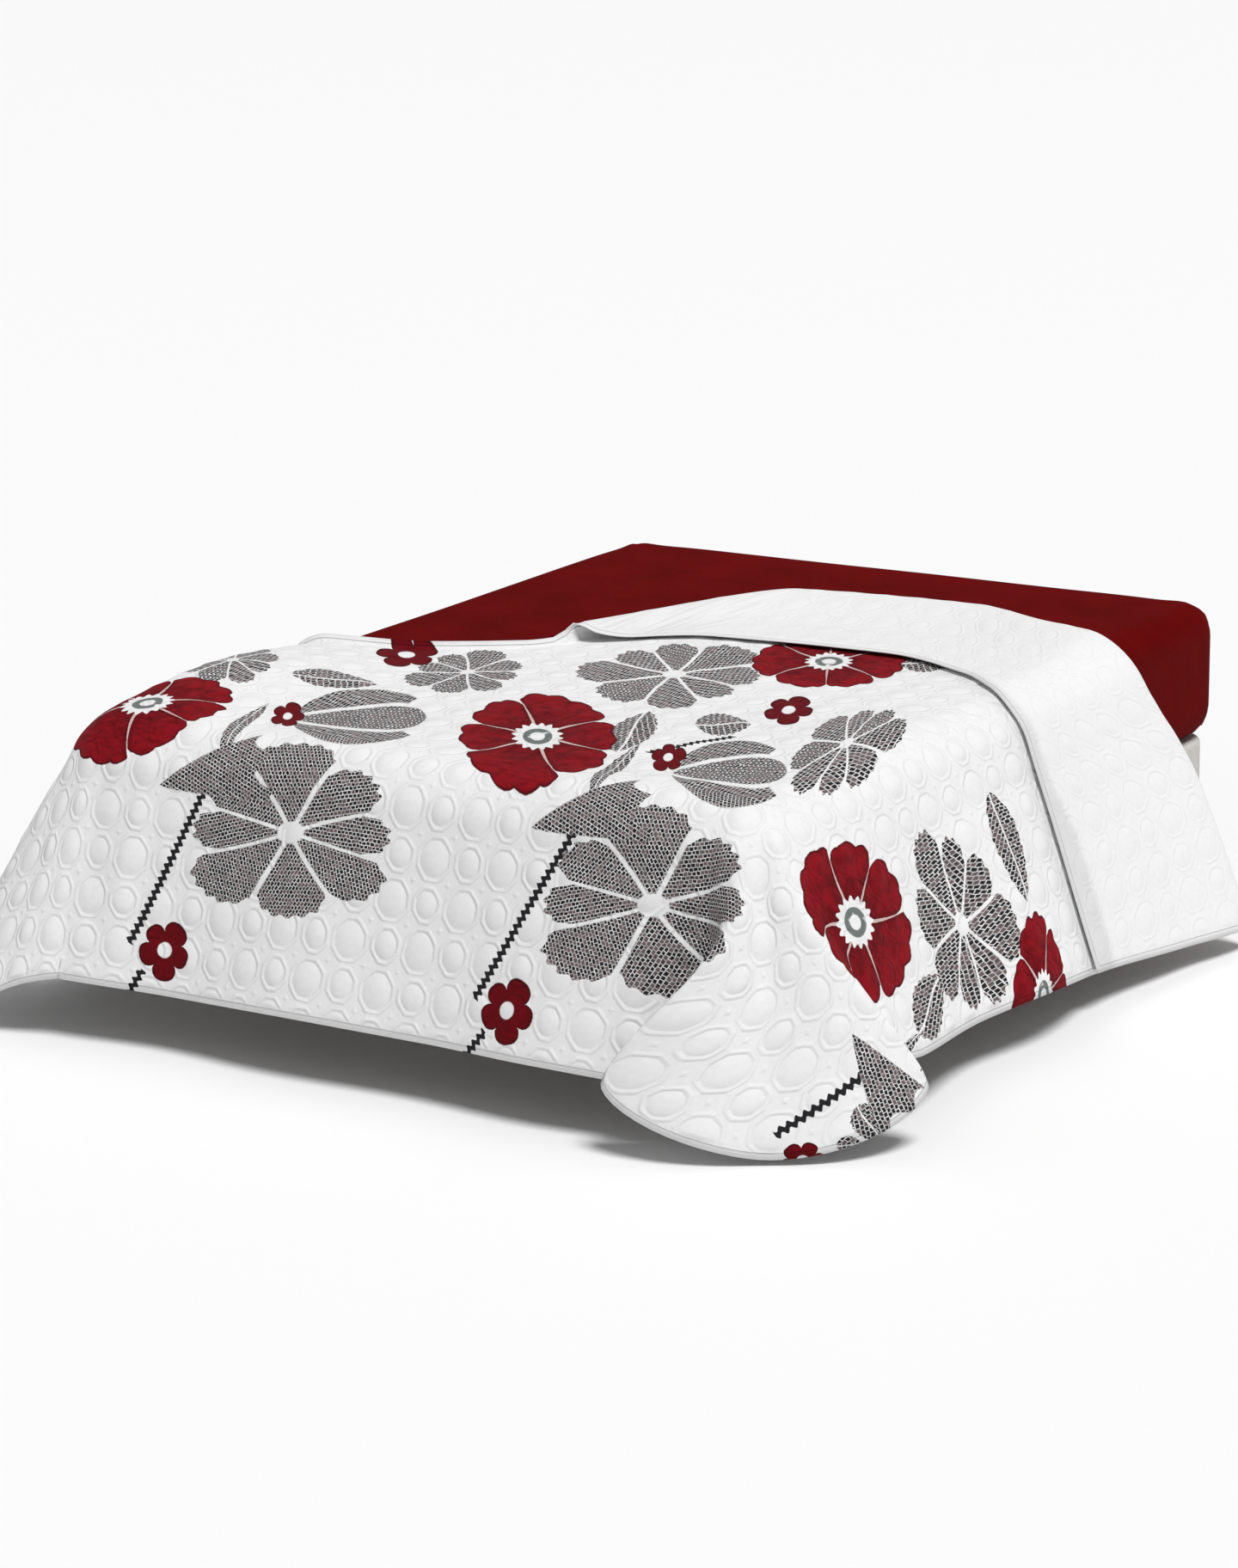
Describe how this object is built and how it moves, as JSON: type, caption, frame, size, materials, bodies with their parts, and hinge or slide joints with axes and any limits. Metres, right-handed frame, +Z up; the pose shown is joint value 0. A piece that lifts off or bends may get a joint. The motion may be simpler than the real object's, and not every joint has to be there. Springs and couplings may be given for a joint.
{
  "type": "quilt on a bed",
  "caption": "Quilted floral bedspread laid over a bed, with a fan of cloth at each corner of the foot and its head end turned back to show the plain reverse.",
  "frame": {"origin": "on the floor, under the middle of the bed", "axes": "+Z up, +Y towards the head end of the bed, +X the right side as seen from the foot"},
  "size_m": [2.147, 2.3016, 0.6509],
  "materials": {
    "quilted_cotton": "matt quilted cotton, printed with red and grey flowers",
    "fitted_sheet": "matt dark red cotton",
    "base_cloth": "matt pale woven cover"
  },
  "bodies": {
    "root": {"quilt": "quilted_cotton", "mattress": "fitted_sheet", "bed_platform": "base_cloth", "bed_plinth": "base_cloth"}
  },
  "joints": []
}
